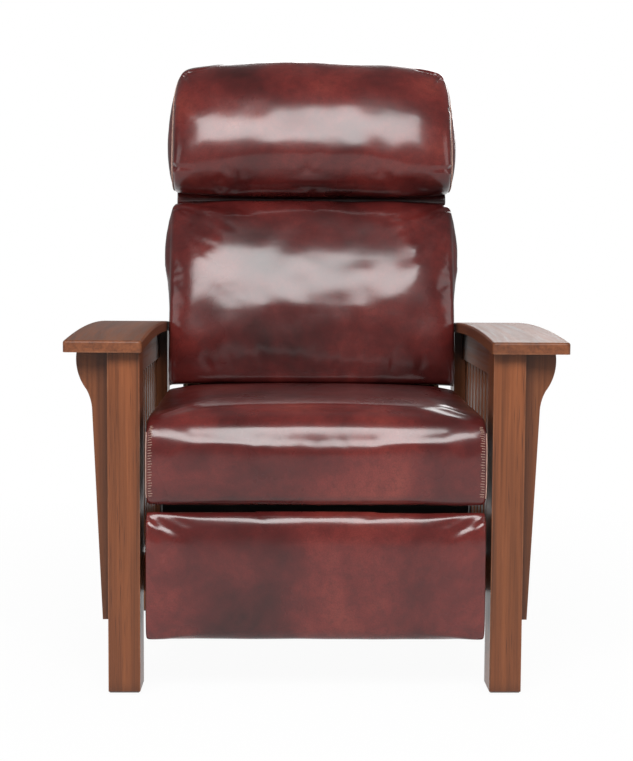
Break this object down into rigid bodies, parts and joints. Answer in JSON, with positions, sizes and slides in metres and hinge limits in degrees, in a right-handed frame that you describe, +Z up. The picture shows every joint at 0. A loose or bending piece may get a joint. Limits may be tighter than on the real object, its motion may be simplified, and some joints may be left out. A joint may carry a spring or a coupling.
{
  "type": "mission reclining armchair",
  "caption": "Push-back reclining armchair with slatted wooden sides, bowed arms on long corbels, a padded leather seat, back cushion and head pillow, and a fold-out leg rest.",
  "frame": {"origin": "on the floor, under the middle of the whole chair", "axes": "+Z up from the floor; -Y towards the front of the chair; +X to the right of a viewer who stands in front of it"},
  "size_m": [0.839, 0.806, 1.1452],
  "materials": {
    "stained_oak": "satin lacquered, medium reddish-brown stain",
    "inner_wood": "plain sawn, unfinished",
    "leather": "soft glossy, mottled oxblood",
    "shell_leather": "soft glossy, oxblood",
    "webbing": "woven elastic strap",
    "glide_nylon": "matt",
    "bare_steel": "zinc plated",
    "black_steel": "black, satin"
  },
  "bodies": {
    "frame": {"arm_left": "stained_oak", "arm_right": "stained_oak", "base_bolts": "bare_steel", "base_rail_left": "black_steel", "base_rail_right": "black_steel", "bottom_rail_left": "stained_oak", "bottom_rail_right": "stained_oak", "front_corbel_left": "stained_oak", "front_corbel_right": "stained_oak", "front_cross_rail": "stained_oak", "front_post_left": "stained_oak", "front_post_right": "stained_oak", "glides": "glide_nylon", "rear_corbel_left": "stained_oak", "rear_corbel_right": "stained_oak", "rear_cross_rail": "stained_oak", "rear_post_left": "stained_oak", "rear_post_right": "stained_oak", "slats_left": "stained_oak", "slats_right": "stained_oak", "top_rail_left": "stained_oak", "top_rail_right": "stained_oak"},
    "front_swing": {"front_swing_link_left": "black_steel", "front_swing_link_right": "black_steel", "swing_shaft": "bare_steel"},
    "rear_swing": {"rear_swing_link_left": "black_steel", "rear_swing_link_right": "black_steel"},
    "seat": {"plate_screws": "bare_steel", "seat_cushion": "leather", "seat_front_rail": "inner_wood", "seat_plate_left": "black_steel", "seat_plate_right": "black_steel", "seat_rear_rail": "inner_wood", "seat_side_rail_left": "inner_wood", "seat_side_rail_right": "inner_wood", "seat_webbing": "webbing"},
    "back": {"back_bottom_rail": "inner_wood", "back_bracket_left": "black_steel", "back_bracket_right": "black_steel", "back_middle_rail": "inner_wood", "back_shell": "shell_leather", "back_stile_left": "inner_wood", "back_stile_right": "inner_wood", "back_top_rail": "inner_wood", "back_webbing": "webbing", "head_pillow": "leather", "lumbar_cushion": "leather"},
    "leg_main": {"leg_main_link_left": "black_steel", "leg_main_link_right": "black_steel"},
    "leg_crank": {"leg_crank_left": "black_steel", "leg_crank_right": "black_steel"},
    "leg_outer": {"leg_outer_link_left": "black_steel", "leg_outer_link_right": "black_steel"},
    "leg_panel": {"leg_bracket_left": "black_steel", "leg_bracket_right": "black_steel", "leg_rest_board": "inner_wood", "leg_rest_pad": "leather"}
  },
  "joints": [
    {"name": "seat_advance", "type": "hinge", "parent": "frame", "child": "front_swing", "pos_m": [0, -0.18596, 0.225], "axis": [1, 0, 0], "range_deg": [0, 35]},
    {"name": "seat_level", "type": "hinge", "parent": "front_swing", "child": "seat", "pos_m": [0, -0.11713, 0.3233], "axis": [1, 0, 0], "range_deg": [-35, 0]},
    {"name": "rear_swing", "type": "hinge", "parent": "frame", "child": "rear_swing", "pos_m": [0, 0.02904, 0.225], "axis": [1, 0, 0], "range_deg": [0, 35]},
    {"name": "leg_main", "type": "hinge", "parent": "seat", "child": "leg_main", "pos_m": [0, -0.32996, 0.257], "axis": [-1, 0, 0], "range_deg": [0, 77]},
    {"name": "leg_crank", "type": "hinge", "parent": "leg_main", "child": "leg_crank", "pos_m": [0, -0.32738, 0.18305], "axis": [1, 0, 0], "range_deg": [0, 154]},
    {"name": "leg_outer", "type": "hinge", "parent": "leg_main", "child": "leg_outer", "pos_m": [0, -0.32535, 0.12508], "axis": [1, 0, 0], "range_deg": [0, 154]},
    {"name": "leg_panel", "type": "hinge", "parent": "leg_crank", "child": "leg_panel", "pos_m": [0, -0.28907, 0.28829], "axis": [-1, 0, 0], "range_deg": [0, 154]},
    {"name": "back_recline", "type": "hinge", "parent": "seat", "child": "back", "pos_m": [0, 0.16304, 0.335], "axis": [-1, 0, 0], "range_deg": [0, 32]}
  ],
  "couplings": [
    {"joint": "seat_level", "follows": "seat_advance", "ratio": -1},
    {"joint": "rear_swing", "follows": "seat_advance", "ratio": 1},
    {"joint": "leg_main", "follows": "seat_advance", "ratio": 2.2},
    {"joint": "leg_crank", "follows": "seat_advance", "ratio": 4.4},
    {"joint": "leg_outer", "follows": "seat_advance", "ratio": 4.4},
    {"joint": "leg_panel", "follows": "seat_advance", "ratio": 4.4}
  ]
}
